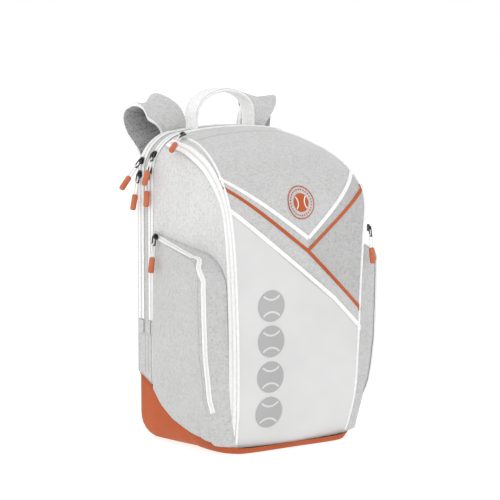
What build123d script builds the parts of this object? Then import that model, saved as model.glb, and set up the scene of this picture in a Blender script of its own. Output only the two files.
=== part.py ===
from build123d import *
import math
import os

# Racket backpack, in millimetres. +Z is up, -Y is the front panel, +Y is the wearer's back.
# The origin is the middle of the flat underside. Left means -X.

# ---- driving dimensions -------------------------------------------------------------------
WIDTH = 300.0            # across the rear compartment
HEIGHT = 504.0           # floor to the top of the bag, without the handle
FRONT_Y = -124.0         # furthest point of the front panel
BACK_Y = 112.0           # face of the back panel
SEAM_Y = 70.0            # main zip: where the front half leaves the rear half
LAPTOP_ZIP_Y = 97.0      # rear zip
WALL = 4.0               # padded fabric wall
GAP = 0.5                # between the two halves, and above the base rim
CORNER_R = 66.0          # upper corners, seen from the front
CROWN = 6.0              # rise of the top between its corners
BOTTOM_R = 45.0          # lower corners, seen from the front
TAPE = 1.2               # zip tape, piping and trim thickness
ZIP_END_Z = 212.0        # where the two rear zips stop
POCKET_BULGE = 174.0     # furthest point of a side pocket from the middle

HALF = WIDTH / 2
ARC_X = HALF - CORNER_R  # centre of an upper corner
ARC_Z = HEIGHT - CROWN - CORNER_R
FAR = 700.0              # longer than the bag: the reach of a cutting solid
CLEAR = 0.3              # between touching curved faces

# Side view (Y, Z) of the whole bag, and the rim where the base meets the fabric.
SIDE_PROFILE = [
    (BACK_Y, 40), (104, 10), (80, 0), (-70, 0), (-92, 5), (-106, 14), (-117, 38), (FRONT_Y, 90),
    (FRONT_Y, 385), (-116, 418), (-97, 448), (-58, 479), (-2, 498), (40, HEIGHT),
    (100, HEIGHT), (BACK_Y, 486),
]
RIM = [(-150, 6), (-112, 8), (-80, 17), (-31, 29), (9, 44), (40, 63), (66, 89), (90, 101), (150, 128)]

# Plan view at five heights: (Z, half width where the side turns in, half width of the front).
PLAN = [(-20, 134, 112), (60, 140, 120), (187, 142, 128), (410, 147, 143), (540, 147, 143)]
SIDE_TURN_Y = -100.0

# Edge of the front panel (X, Z) on the right, from the bottom up to the top of the arch.
EDGE = [(112, 16), (120, 60), (127, 140), (131, 250), (137, 330), (144, 395), (137, 429),
        (124, 460), (108, 484), (98, 492), (98, 520)]
# Inner side of the edge zip (Y, Z), seen from the side.
EDGE_ZIP = [(46, 480), (4, 476), (-50, 456), (-86, 428), (-108, 392), (-112, 95), (-104, 48)]
PARTS = {}


# ---- helpers ------------------------------------------------------------------------------
def wide(points, plane, grow=0.0):
    """A prism of a closed outline, long enough to cut the whole bag; grow moves its sides out."""
    face = plane * make_face(Polyline(*points, close=True))
    if grow:
        face = offset(face, amount=grow, kind=Kind.INTERSECTION)
    return extrude(face, amount=FAR, both=True)


def slab(axis, low, high):
    """Everything between two planes across one axis."""
    size, middle = [2 * FAR] * 3, [0.0] * 3
    size[axis], middle[axis] = high - low, (high + low) / 2
    return Pos(*middle) * Box(*size)


def front_outline(grow):
    """The rounded front view with its crowned top, as a prism along Y."""
    low, half, upper, lower = -grow, HALF + grow, CORNER_R + grow, BOTTOM_R + grow
    shoulder = ARC_Z + upper
    k = math.sqrt(0.5)
    right = Line((half, low + lower), (half, ARC_Z))
    corner = ThreePointArc((half, ARC_Z), (ARC_X + upper * k, ARC_Z + upper * k), (ARC_X, shoulder))
    top = ThreePointArc((ARC_X, shoulder), (0, HEIGHT + grow), (-ARC_X, shoulder))
    other = ThreePointArc((-ARC_X, shoulder), (-ARC_X - upper * k, ARC_Z + upper * k), (-half, ARC_Z))
    left = Line((-half, ARC_Z), (-half, low + lower))
    turn = lower * (1 - k)
    foot_l = ThreePointArc((-half, low + lower), (-half + turn, low + turn), (-half + lower, low))
    floor = Line((-half + lower, low), (half - lower, low))
    foot_r = ThreePointArc((half - lower, low), (half - turn, low + turn), (half, low + lower))
    face = make_face([right, corner, top, other, left, foot_l, floor, foot_r])
    return extrude(Plane.XZ * face, amount=FAR, both=True)


def plan_outline(grow):
    """The plan view, as a ruled loft between its heights."""
    rings = []
    for z, side, edge in PLAN:
        half, turn, front = HALF + grow, side + grow, edge + grow
        ring = [(half, BACK_Y + grow), (half, SEAM_Y), (turn, SIDE_TURN_Y), (front, FRONT_Y - grow)]
        ring += [(-x, y) for x, y in reversed(ring)]
        rings.append(Pos(0, 0, z) * make_face(Polyline(*ring, close=True)))
    return loft(rings, ruled=True)


def bag(grow=0.0):
    """The closed bag, grown outwards, or shrunk for its inside."""
    side = wide(SIDE_PROFILE, Plane.YZ, grow)
    return front_outline(grow) & side & plan_outline(grow)


def above_rim(lift):
    """The space above the base rim."""
    line = [(y, z + lift) for y, z in RIM]
    return wide(line + [(150, FAR), (-150, FAR)], Plane.YZ)


def add(name, shape):
    """Keeps a sub-part under the name of its node."""
    PARTS[name] = shape


def mirrored(shape):
    """The same piece on the other side of the bag."""
    return mirror(shape, about=Plane.YZ)


def both_sides(name, left):
    """A left piece and its mirror image."""
    add(name + "_left", left)
    add(name + "_right", mirrored(left))


def frame_at(origin, x_dir, z_dir):
    """A plane that turns a local piece to its place."""
    return Plane(origin=origin, x_dir=x_dir, z_dir=z_dir)


def ribbon(points, width_dirs, widths, thick):
    """A flat band along a line of points: a ruled loft of rectangles."""
    places = [Vector(*p) for p in points]
    faces = []
    for i, place in enumerate(places):
        ahead = places[min(i + 1, len(places) - 1)] - places[max(i - 1, 0)]
        across = Vector(*width_dirs[i])
        across = across - ahead.normalized() * across.dot(ahead.normalized())
        plane = frame_at(place, across.normalized(), ahead.normalized())
        faces.append(plane * Rectangle(widths[i], thick))
    return loft(faces, ruled=True)


# ---- the shells ---------------------------------------------------------------------------
OUTER, INNER = bag(), bag(-WALL)
SKIN = bag(TAPE) - OUTER
SHELL = OUTER - INNER


def shells():
    """Rear compartment, front half and moulded base, all cut from one wall."""
    upper = SHELL & above_rim(GAP)
    add("rear_shell", upper & slab(1, SEAM_Y + GAP, FAR))
    add("front_shell", upper & slab(1, -FAR, SEAM_Y - GAP))
    add("base", SHELL - above_rim(0))


def inner_panels():
    """The two padded dividers: laptop compartment and racket compartment."""
    inside = bag(-WALL - GAP)
    add("laptop_divider", inside & above_rim(4) & slab(1, SEAM_Y + 6, SEAM_Y + 11))
    add("racket_divider", inside & above_rim(4) & slab(1, -72, -67))


def back_pads():
    """Two tall pads and a lumbar pad on the back panel."""
    tall = Pos(39, BACK_Y + 5 + CLEAR, 332) * Box(46, 10, 276)
    tall = fillet(tall.edges().filter_by(Axis.Y), 18)
    tall = fillet(tall.faces().sort_by(Axis.Y)[-1].edges(), 4)
    add("back_pads", tall + mirrored(tall))
    lumbar = Pos(0, BACK_Y + 6 + CLEAR, 122) * Box(170, 12, 96)
    lumbar = fillet(lumbar.edges().filter_by(Axis.Y), 28)
    add("lumbar_pad", fillet(lumbar.faces().sort_by(Axis.Y)[-1].edges(), 5))


# ---- side pockets -------------------------------------------------------------------------
POCKET_Y = (-108.0, 62.0)
POCKET_TOP = (312.0, 344.0)       # height of its top edge, at the front and at the rear
POCKET_CORNER = 46.0
POCKET_WALL = 3.0
POCKET_PLAN = [(0, 136), (40, 144), (90, 158), (160, 170), (270, POCKET_BULGE), (400, 168)]


def pocket_outline(inset):
    """The pocket seen from the side: rounded at the top front, cut along the base rim."""
    front, rear = POCKET_Y[0] + inset, POCKET_Y[1] - inset
    points = [(front, -9), (front, POCKET_TOP[0] - inset), (rear, POCKET_TOP[1] - inset), (rear, -9)]
    face = make_face(Polyline(*points, close=True))
    corner = face.vertices().sort_by_distance((front, POCKET_TOP[0]))[0]
    face = fillet([corner], POCKET_CORNER - inset)
    return extrude(Plane.YZ * face, amount=FAR, both=True)


def pocket_body(grow):
    """The left pocket's outer form, wider at the front than at the rear."""
    rings = []
    for z, out in POCKET_PLAN:
        out = out + grow
        ring = [(-90, POCKET_Y[1]), (-HALF - 2 - grow, POCKET_Y[1]), (-out, -98), (-out + 5, -109 - grow),
                (-out + 30, -113 - grow), (-90, -113 - grow)]
        rings.append(Pos(0, 0, z) * make_face(Polyline(*ring, close=True)))
    return loft(rings, ruled=True)


def pockets():
    """Two zipped pockets that open on to the side wall, and the zip along their front edge."""
    outer = pocket_body(0) & pocket_outline(0) & above_rim(GAP)
    inner = pocket_body(-POCKET_WALL) & pocket_outline(POCKET_WALL) & above_rim(GAP + POCKET_WALL)
    wall = ((outer - inner) - bag(CLEAR)) & slab(0, -FAR, -126)
    both_sides("pocket", wall)
    band = pocket_outline(0) - pocket_outline(11)
    tape = (pocket_body(TAPE) - pocket_body(CLEAR)) & band
    tape = tape & slab(2, 74, FAR) & slab(1, -FAR, 55) & slab(0, -FAR, -120)
    tape = tape - bag(TAPE + CLEAR)
    add("pocket_zips", tape + mirrored(tape))


# ---- zips and trim on the skin ------------------------------------------------------------
def around(y_low, y_high, z_low):
    """A strip of skin that runs up one side, over the top and down the other."""
    return SKIN & slab(1, y_low, y_high) & slab(2, z_low, FAR)


def edge_strip():
    """The zip along the left edge of the front panel: up the corner and back over the shoulder."""
    outside = [(-x - 1, z) for x, z in EDGE] + [(-FAR, EDGE[-1][1]), (-FAR, EDGE[0][1])]
    corner = EDGE_ZIP + [(-FAR, EDGE_ZIP[-1][1]), (-FAR, FAR), (EDGE_ZIP[0][0], FAR)]
    return (SKIN & wide(outside, Plane.XZ) & wide(corner, Plane.YZ)) - pocket_body(CLEAR)


def front_skin(outline):
    """A patch of skin on the front, cut from an outline in the front view."""
    return SKIN & wide(outline, Plane.XZ) & slab(1, -FAR, -20)


def band(points, width):
    """The outline of a band along a line of points in the front view."""
    upper, lower = [], []
    for i, (x, z) in enumerate(points):
        ahead, behind = points[min(i + 1, len(points) - 1)], points[max(i - 1, 0)]
        dx, dz = ahead[0] - behind[0], ahead[1] - behind[1]
        k = width / 2 / math.hypot(dx, dz)
        upper.append((x - dz * k, z + dx * k))
        lower.append((x + dz * k, z - dx * k))
    return upper + lower[::-1]


# The front panel's artwork: two long diagonals that fall to the right, and a V above them.
ORANGE = [(-134, 425), (12, 317), (125, 214)]
BRANCH = [(18, 320), (138, 411)]
LOW_WHITE = [(-134, 390), (67, 237), (126, 184)]
V_LEFT = [(-132, 437), (13, 337)]
V_RIGHT = [(14, 335), (131, 436)]


def trims():
    """Zip tapes, piping, printed tapes and the round badge."""
    add("main_zip_rear", around(SEAM_Y + GAP, SEAM_Y + 6, ZIP_END_Z))
    add("main_zip_front", around(SEAM_Y - 6, SEAM_Y - GAP, ZIP_END_Z))
    add("laptop_zip", around(LAPTOP_ZIP_Y - 6, LAPTOP_ZIP_Y + 6, ZIP_END_Z))
    strip = edge_strip()
    add("racket_zips", strip + mirrored(strip))
    under = [(-111, 26), (111, 26), (124, 180)] + LOW_WHITE[::-1] + [(-124, 180)]
    add("lower_panel", front_skin(under) - wide(band(LOW_WHITE, 8), Plane.XZ))
    low, left, right = [front_skin(band(line, 7)) for line in (LOW_WHITE, V_LEFT, V_RIGHT)]
    add("white_stripes", low + left + (right - left))
    diagonal = front_skin(band(ORANGE, 6))
    add("orange_stripes", diagonal + (front_skin(band(BRANCH, 6)) - diagonal))
    disc = extrude(Plane.XZ * Pos(4, 396) * Circle(26), amount=FAR)
    add("badge", SKIN & disc & slab(1, -FAR, -20))


# ---- carry handle -------------------------------------------------------------------------
HANDLE_Y, HANDLE_HALF, HANDLE_WIDE = 86.0, 57.0, 34.0
HANDLE_PIVOT_Z, HANDLE_TOP_Z = 522.0, 563.0


def carry_handle():
    """A webbing loop whose legs fold beside two stitched tabs."""
    low = HANDLE_PIVOT_Z - 8
    half = [(HANDLE_HALF, low), (HANDLE_HALF - 2, 532), (46, 547), (27, 558), (0, HANDLE_TOP_Z)]
    line = [(-x, z) for x, z in half] + [(x, z) for x, z in reversed(half[:-1])]
    points = [(x, HANDLE_Y, z) for x, z in line]
    count = len(points)
    add("handle", ribbon(points, [(0, 1, 0)] * count, [HANDLE_WIDE] * count, 3.2))
    tab = Pos(-HANDLE_HALF - 3.7, HANDLE_Y, HANDLE_PIVOT_Z - 12) * Box(3.0, HANDLE_WIDE, 40)
    tab = tab - bag(TAPE + CLEAR)
    add("handle_tabs", tab + mirrored(tab))


# ---- shoulder straps ----------------------------------------------------------------------
STRAP_WIDE, STRAP_THICK = 68.0, 12.0
STRAP_PEAK = (-107, 146, 538)
STRAP_RISE = [(-71, 118.6, 484), (-71, 119, 503), (-78, 124, 521), (-91, 134, 533)]
STRAP_FALL = [(-112, 154, 529), (-113, 156, 515), (-110, 150, 496), (-105, 138, 479),
              (-101, 126, 462), (-100, 122, 440), (-100, 121, 400), (-100, 121, 320), (-100, 121, 248)]
STRAP_TILT = (1, 0, 0.12)      # the strap's width leans with the shoulder


def shoulder_straps():
    """Each strap is a fixed rise from the back panel and a long pad that swings at its peak."""
    rise = STRAP_RISE + [(STRAP_PEAK[0] + 4, STRAP_PEAK[1] - 6, STRAP_PEAK[2])]
    widths = [54, 56, 60, 64, STRAP_WIDE]
    root = ribbon(rise, [STRAP_TILT] * 5, widths, STRAP_THICK)
    add("strap_roots", root + mirrored(root))
    fall = [(STRAP_PEAK[0] - 2, STRAP_PEAK[1] + 4.5, STRAP_PEAK[2] - 3)] + STRAP_FALL
    widths = [STRAP_WIDE] * 8 + [64, 50]
    both_sides("strap", ribbon(fall, [STRAP_TILT] + [(1, 0, 0)] * 9, widths, STRAP_THICK))
    end = STRAP_FALL[-1]
    outer = Rectangle(34, 22) - Pos(0, -4.5) * Rectangle(26, 4) - Pos(0, 4.5) * Rectangle(26, 4)
    lock = frame_at((end[0], end[1], end[2] - 12), (1, 0, 0), (0, 1, 0)) * extrude(outer, amount=2, both=True)
    both_sides("ladder_lock", lock)
    line = [(-100, 121, 223), (-104, 120, 190), (-114, 118.5, 130), (-123, 117.5, 88)]
    both_sides("webbing", ribbon(line, [(1, 0, 0)] * 4, [25] * 4, 1.8))
    tab = Pos(-123, 117.5, 69) * Box(30, 3.5, 28)
    add("webbing_anchors", tab + mirrored(tab))


# ---- zip sliders and pulls ----------------------------------------------------------------
PLATE = (12.0, 9.0, 2.0)         # slider plate: along the zip, across it, thick
STAND = TAPE + 0.5               # underside of the plate above the fabric
PIVOT = STAND + 3.9              # ring axis above the fabric
RING = (10.0, 16.0, 1.6)         # width, length and thickness of the ring
RING_TOP = 1.0                   # ring edge above its axis
CORD_D, CORD_BEND = 2.2, 2.5     # pull cord and the radius of its fold in the ring
GRIP_START, GRIP_LONG = 33.0, 26.0


def slider_body(spot):
    """Plate with two lips, and an eyed crown that holds the ring."""
    along, normal, pin = spot["along"], spot["normal"], spot["pin"]
    plate = Pos(0, 0, STAND + PLATE[2] / 2) * Box(*PLATE)
    plate = fillet(plate.edges().filter_by(Axis.Z), 3.4)
    body = frame_at(spot["at"], along, normal) * plate
    crown = Pos(0, 0, STAND + PLATE[2] + 1.7) * Box(6.4, 3.0, 4.0)
    crown = fillet(crown.edges().filter_by(Axis.Y).group_by(Axis.Z)[-1], 1.8)
    crown = crown - Pos(0, 0, PIVOT) * Rot(90, 0, 0) * Cylinder(1.35, 8)
    across = Vector(*pin).cross(Vector(*normal)).normalized()
    return body + frame_at(spot["at"], across, normal) * crown


def pull_plane(spot, extra=0.0):
    """Local frame of a pull: X along the pin, -Y the way it hangs, Z off the surface."""
    pivot = Vector(*spot["at"]) + Vector(*spot["normal"]) * PIVOT
    hang, pin = Vector(*spot["hang"]).normalized(), Vector(*spot["pin"]).normalized()
    return frame_at(pivot, pin, pin.cross(hang * -1))


def pull_ring(spot):
    """A flat stamped ring through the crown's eye."""
    width, long, thick = RING
    outline = RectangleRounded(width, long, 2.4) - RectangleRounded(width - 3.2, long - 3.2, 1.2)
    return pull_plane(spot) * Pos(0, RING_TOP - long / 2, 0) * extrude(outline, amount=thick / 2, both=True)


def pull_cord(spot):
    """A loop of cord: up one side of the ring's lower bar and down the other."""
    fold = RING_TOP - RING[1] + 0.8
    start = GRIP_START + spot["longer"]
    up = Line((0, -start, -CORD_BEND), (0, fold, -CORD_BEND))
    turn = ThreePointArc((0, fold, -CORD_BEND), (0, fold + CORD_BEND, 0), (0, fold, CORD_BEND))
    down = Line((0, fold, CORD_BEND), (0, -start, CORD_BEND))
    section = frame_at((0, -start, -CORD_BEND), (1, 0, 0), (0, 1, 0)) * Circle(CORD_D / 2)
    loop = sweep(section, path=Wire([up, turn, down]))
    volume = math.pi * (CORD_D / 2) ** 2 * (up.length + turn.length + down.length)
    assert abs(loop.volume - volume) < 0.02 * volume
    return pull_plane(spot) * loop


def pull_grip(spot):
    """A moulded grip with rounded ends and a flat on its back."""
    top = -GRIP_START - spot["longer"]
    grip = Pos(0, top - GRIP_LONG / 2, 0) * Rot(90, 0, 0) * Cylinder(4.7, GRIP_LONG)
    grip = fillet(grip.edges(), 3.0)
    return pull_plane(spot) * grip


def on_arc(degrees, y, out, forward):
    """A spot on the left upper corner, that many degrees up from the vertical run."""
    c, s = math.cos(math.radians(degrees)), math.sin(math.radians(degrees))
    return {"at": (-ARC_X - CORNER_R * c, y, ARC_Z + CORNER_R * s), "along": (-s, 0, -c),
            "normal": (-c, 0, s), "pin": (0, 1, 0), "hang": (out, forward, -1), "longer": 0.0}


def on_run(height, y, out):
    """A spot on the left vertical run."""
    return {"at": (-HALF, y, height), "along": (0, 0, -1), "normal": (-1, 0, 0),
            "pin": (0, 1, 0), "hang": (out, 0, -1), "longer": 0.0}


POCKET_RUN = (-0.106, -0.978, -0.18)  # the pocket zip's top run, towards the front
POCKET_NORMAL = (-0.994, 0.11, 0.02)
SPOTS = {
    "laptop_upper": on_arc(19, LAPTOP_ZIP_Y, -0.84, 0.0),
    "laptop_lower": on_run(433, LAPTOP_ZIP_Y, -0.2),
    "main_upper": on_arc(30, SEAM_Y, -0.62, -0.36),
    "main_lower": on_run(441, SEAM_Y, -0.07),
    "racket_left": {"at": (-104, 45, 495), "along": (0, -1, 0), "normal": (-0.3, 0, 0.954),
                    "pin": (-0.45, 0.85, -0.29), "hang": (-0.72, -0.56, -0.34), "longer": 8.0},
    "racket_right": {"at": (144.2, -117, 345), "along": (0, 0, -1), "normal": (0.95, -0.312, 0),
                     "pin": (0.312, 0.95, 0), "hang": (0.09, -0.03, -1), "longer": 0.0},
    "pocket_left": {"at": (-155.5, 45, 337), "along": POCKET_RUN, "normal": POCKET_NORMAL,
                    "pin": (0, 1, 0), "hang": (-0.12, 0, -1), "longer": 0.0},
    "pocket_right": {"at": (155.5, 45, 337), "along": (0.106, -0.978, -0.18), "normal": (0.994, 0.11, 0.02),
                     "pin": (0, 1, 0), "hang": (0.12, 0, -1), "longer": 0.0},
}


def square_up(spot):
    """Makes the pin square to the way the pull hangs."""
    pin, hang = Vector(*spot["pin"]), Vector(*spot["hang"]).normalized()
    pin = (pin - hang * pin.dot(hang)).normalized()
    return dict(spot, pin=tuple(pin), hang=tuple(hang), normal=tuple(Vector(*spot["normal"]).normalized()))


def sliders():
    """Eight sliders, each with its ring, cord and grip."""
    for name, raw in SPOTS.items():
        spot = square_up(raw)
        add(name + "_slider", slider_body(spot))
        add(name + "_ring", pull_ring(spot))
        add(name + "_cord", pull_cord(spot))
        add(name + "_grip", pull_grip(spot))
        pivot = pull_plane(spot).origin
        print(name, "pivot", tuple(round(v, 2) for v in pivot), "pin", tuple(round(v, 4) for v in spot["pin"]))


shells()
inner_panels()
back_pads()
pockets()
trims()
carry_handle()
shoulder_straps()
sliders()
for node, shape in PARTS.items():
    export_step(Compound(children=list(shape.solids())), f"parts/{node}.step")
print(len(PARTS), "nodes")
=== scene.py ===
import math

import bpy
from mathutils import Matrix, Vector, noise


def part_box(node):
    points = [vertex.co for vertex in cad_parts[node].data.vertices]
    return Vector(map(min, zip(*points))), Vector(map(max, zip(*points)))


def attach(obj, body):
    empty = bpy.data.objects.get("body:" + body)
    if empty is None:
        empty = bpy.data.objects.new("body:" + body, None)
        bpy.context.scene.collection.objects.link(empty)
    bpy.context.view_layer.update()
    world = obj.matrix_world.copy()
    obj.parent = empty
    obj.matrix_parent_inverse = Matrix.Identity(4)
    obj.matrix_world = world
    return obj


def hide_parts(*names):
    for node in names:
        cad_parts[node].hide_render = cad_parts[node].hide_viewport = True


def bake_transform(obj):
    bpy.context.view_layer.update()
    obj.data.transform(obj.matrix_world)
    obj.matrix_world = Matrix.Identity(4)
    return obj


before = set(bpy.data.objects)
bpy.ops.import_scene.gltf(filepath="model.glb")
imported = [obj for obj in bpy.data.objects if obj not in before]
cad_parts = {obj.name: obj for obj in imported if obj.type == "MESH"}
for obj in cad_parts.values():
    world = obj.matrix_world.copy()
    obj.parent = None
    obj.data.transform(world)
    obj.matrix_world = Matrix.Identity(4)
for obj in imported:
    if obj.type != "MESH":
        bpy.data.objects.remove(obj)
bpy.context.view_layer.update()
MM = 0.001

# Sizes of the bag in millimetres, as in the CAD. Left is -X, the front panel faces -Y.
HALF, BACK_Y, SEAM_Y = 150.0, 112.0, 70.0
CORNER_R, ARC_X, ARC_Z, TOP, FOOT_R = 66.0, 84.0, 432.0, 504.0, 45.0
ZIP_END = 198.0
LAPTOP_Y = 97.0

# Rim of the base (Y, Z), seen from the side.
RIM = [(-150, 7), (-112, 9), (-80, 18), (-31, 30), (9, 45), (40, 64), (66, 90), (90, 102), (150, 128)]
# Left edge of the front panel (X, Y, Z), from the bottom over the shoulder to the main zip.
EDGE = [(-109, -102, 10), (-113, -111, 35), (-118, -121, 85), (-121, -125, 167), (-124, -126, 248),
        (-129, -126, 330), (-135, -122, 393), (-131, -98, 432), (-119, -55, 463), (-104, 2, 484),
        (-98, 50, 493), (-96, 69, 497.5)]
# Middle line of the front panel (Y, Z), point for point with the edge.
MIDDLE = [(-110, 9), (-120, 35), (-128, 85), (-131, 167), (-132, 248), (-131, 330), (-127, 393),
          (-104, 440), (-62, 476), (-4, 496), (46, 502), (69, TOP)]


# ---- small tools --------------------------------------------------------------------------
def lerp(a, b, k):
    return a + (b - a) * k


def smooth(k):
    """0 to 1 with soft ends."""
    k = min(max(k, 0.0), 1.0)
    return k * k * (3 - 2 * k)


def table(pairs, x):
    """Straight-line reading of a list of (x, y)."""
    for (a, u), (b, v) in zip(pairs, pairs[1:]):
        if x <= b:
            return lerp(u, v, (x - a) / (b - a)) if x > a else u
    return pairs[-1][1]


def spline(points, t):
    """A smooth curve through points; t runs from 0 to 1, evenly by point."""
    n = len(points) - 1
    k = min(max(t, 0.0), 1.0) * n
    i = min(int(k), n - 1)
    f = k - i
    p = [Vector(points[min(max(j, 0), n)]) for j in (i - 1, i, i + 1, i + 2)]
    a = p[1] * 2
    b = (p[2] - p[0]) * f
    c = (p[0] * 2 - p[1] * 5 + p[2] * 4 - p[3]) * f * f
    d = (p[1] * 3 - p[0] - p[2] * 3 + p[3]) * f ** 3
    return (a + b + c + d) / 2


def rim(y):
    return table(RIM, y)


def rim_back(z):
    """The Y where the rim reaches a height."""
    return table([(h, y) for y, h in RIM], z)


def outline(z):
    """Half width of the rear half at a height."""
    if z < FOOT_R:
        return HALF - FOOT_R + math.sqrt(max(FOOT_R ** 2 - (FOOT_R - z) ** 2, 0))
    if z <= ARC_Z:
        return HALF
    return ARC_X + math.sqrt(max(CORNER_R ** 2 - (z - ARC_Z) ** 2, 0))


def arch(t, low, grow=0.0):
    """(x, z, outward x, outward z) round the rear outline, t from 0 at the left foot to 1."""
    flip = t > 0.5
    s = min(t, 1 - t) * 2
    run, turn, cap = ARC_Z - low, CORNER_R * math.pi / 2, 84.3
    d = s * (run + turn + cap)
    if d <= run:
        x, z, nx, nz = -HALF, low + d, -1.0, 0.0
    elif d <= run + turn:
        a = (d - run) / CORNER_R
        x, z = -ARC_X - CORNER_R * math.cos(a), ARC_Z + CORNER_R * math.sin(a)
        nx, nz = -math.cos(a), math.sin(a)
    else:
        x = -ARC_X + (d - run - turn) / cap * ARC_X
        z = TOP - (TOP - ARC_Z - CORNER_R) * (x / ARC_X) ** 2
        nx, nz = 0.12 * x / ARC_X, 1.0
    if flip:
        x, nx = -x, -nx
    return x + nx * grow, z + nz * grow, nx, nz


def made(name, verts, faces, body, mats, face_mats=None):
    """A mesh piece that rides on a body and takes its finish from a slot."""
    mesh = bpy.data.meshes.new(name)
    mesh.from_pydata([Vector(v) * MM for v in verts], [], faces)
    mesh.validate()
    piece = bpy.data.objects.new(name, mesh)
    bpy.context.scene.collection.objects.link(piece)
    for m in mats:
        mesh.materials.append(m)
    if face_mats:
        for poly, k in zip(mesh.polygons, face_mats):
            poly.material_index = k
    for poly in mesh.polygons:
        poly.use_smooth = True
    if body:
        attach(piece, body)
    return piece


def grid(name, rows, body, mats, pick=None, closed=False):
    """A sheet through rows of points; pick(i, j) chooses each face's material."""
    n = len(rows[0])
    verts = [p for row in rows for p in row]
    faces, picks = [], []
    for i in range(len(rows) - 1):
        for j in range(n if closed else n - 1):
            k = (j + 1) % n
            faces.append((i * n + j, i * n + k, (i + 1) * n + k, (i + 1) * n + j))
            picks.append(pick(i, j) if pick else 0)
    return made(name, verts, faces, body, mats, picks)


def thicken(piece, thick, lining=0):
    """Gives a sheet its thickness, inwards, with its inner face so many materials further on."""
    mod = piece.modifiers.new("wall", "SOLIDIFY")
    mod.thickness = thick * MM
    mod.offset = -1.0
    mod.use_even_offset = False
    mod.material_offset = lining
    return piece


def fix_normals(piece, outward_from):
    """Turns the faces away from a point inside."""
    centre = Vector(outward_from) * MM
    mesh = piece.data
    total = sum((p.center - centre).dot(p.normal) * p.area for p in mesh.polygons)
    if total < 0:
        mesh.flip_normals()
    return piece


def ripple(piece, high, size, seed=0.0):
    """Soft unevenness of cloth: moves points along their normals."""
    mesh = piece.data
    for v in mesh.vertices:
        p = v.co / (size * MM) + Vector((seed, seed, seed))
        v.co += v.normal * noise.noise(p) * high * MM


def faceted(piece):
    """Faceted shading, for tapes and printed shapes."""
    for poly in piece.data.polygons:
        poly.use_smooth = False
    return piece


def band(name, points, normals, width, thick, body, mats):
    """A flat tape along a curve, centred on it and lying on the surface."""
    n = len(points)
    verts = []
    for i in range(n):
        p, up = Vector(points[i]), Vector(normals[i]).normalized()
        along = (Vector(points[min(i + 1, n - 1)]) - Vector(points[max(i - 1, 0)])).normalized()
        side = along.cross(up).normalized()
        half, h = width / 2, thick
        verts += [p - side * half, p - side * half * 0.96 + up * h, p + side * half * 0.96 + up * h,
                  p + side * half]
    faces = []
    for i in range(n - 1):
        for j in range(4):
            k = (j + 1) % 4
            faces.append((i * 4 + j, i * 4 + k, (i + 1) * 4 + k, (i + 1) * 4 + j))
    faces += [(3, 2, 1, 0), tuple(range((n - 1) * 4, n * 4))]
    return faceted(made(name, verts, faces, body, mats))


def rope(name, points, radius, body, mats, sides=8, closed=False):
    """A round piping or bead along a curve."""
    n = len(points)
    verts, faces = [], []
    up = Vector((0.1, 0.2, 1)).normalized()
    for i in range(n):
        p = Vector(points[i])
        ahead = points[(i + 1) % n if closed else min(i + 1, n - 1)]
        behind = points[i - 1 if closed or i else 0]
        along = (Vector(ahead) - Vector(behind)).normalized()
        side = along.cross(up)
        if side.length < 0.05:
            side = along.cross(Vector((1, 0, 0)))
        side.normalize()
        up = side.cross(along).normalized()
        for k in range(sides):
            a = 2 * math.pi * k / sides
            verts.append(p + (side * math.cos(a) + up * math.sin(a)) * radius)
    for i in range(n if closed else n - 1):
        for k in range(sides):
            m, q = (k + 1) % sides, (i + 1) % n
            faces.append((i * sides + k, i * sides + m, q * sides + m, q * sides + k))
    if not closed:
        faces += [tuple(range(sides))[::-1], tuple(range((n - 1) * sides, n * sides))]
    return made(name, verts, faces, body, mats)


def even(points, step):
    """The same curve with points at an even spacing."""
    points = [Vector(p) for p in points]
    out, left = [points[0]], step
    for a, b in zip(points, points[1:]):
        length = (b - a).length
        done = 0.0
        while length - done >= left:
            done += left
            out.append(a.lerp(b, done / length))
            left = step
        left -= length - done
    return out


def nearest(p, points, normals):
    """The normal of the nearest listed point."""
    best = min(range(len(points)), key=lambda i: (points[i] - p).length_squared)
    return normals[best]


def studs(name, points, surface, size, body, mats, shift=0.0):
    """Many small blocks along a curve: zip teeth or stitches.

    surface is the points and normals the blocks stand on, and size is (long, wide, high).
    """
    verts, faces = [], []
    n = len(points)
    for i in range(n):
        p = Vector(points[i])
        along = (Vector(points[min(i + 1, n - 1)]) - Vector(points[max(i - 1, 0)])).normalized()
        up = nearest(p, *surface).normalized()
        side = along.cross(up).normalized()
        base = p + side * (shift * (1 if i % 2 else -1))
        start = len(verts)
        for w, h in ((1.0, 0.0), (0.6, 1.0)):
            for sx, sy in ((-1, -1), (1, -1), (1, 1), (-1, 1)):
                verts.append(base + along * sx * size[0] / 2 * w + side * sy * size[1] / 2 * w
                             + up * (h * size[2] + 0.02))
        faces += [tuple(start + k for k in f) for f in
                  ((0, 3, 2, 1), (4, 5, 6, 7), (0, 1, 5, 4), (1, 2, 6, 5), (2, 3, 7, 6), (3, 0, 4, 7))]
    return made(name, verts, faces, body, mats)


def stitches(name, line, surface, body, size=(2.0, 0.7, 0.4)):
    """A row of grey thread."""
    return studs(name, line, surface, size, body, [GREY_STITCH])


def teeth(name, line, surface, body, wide, high=0.9, shift=0.5):
    """A zip's coil or one row of its teeth."""
    return studs(name, line, surface, (1.1, wide, high), body, [TEETH], shift=shift)


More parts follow.
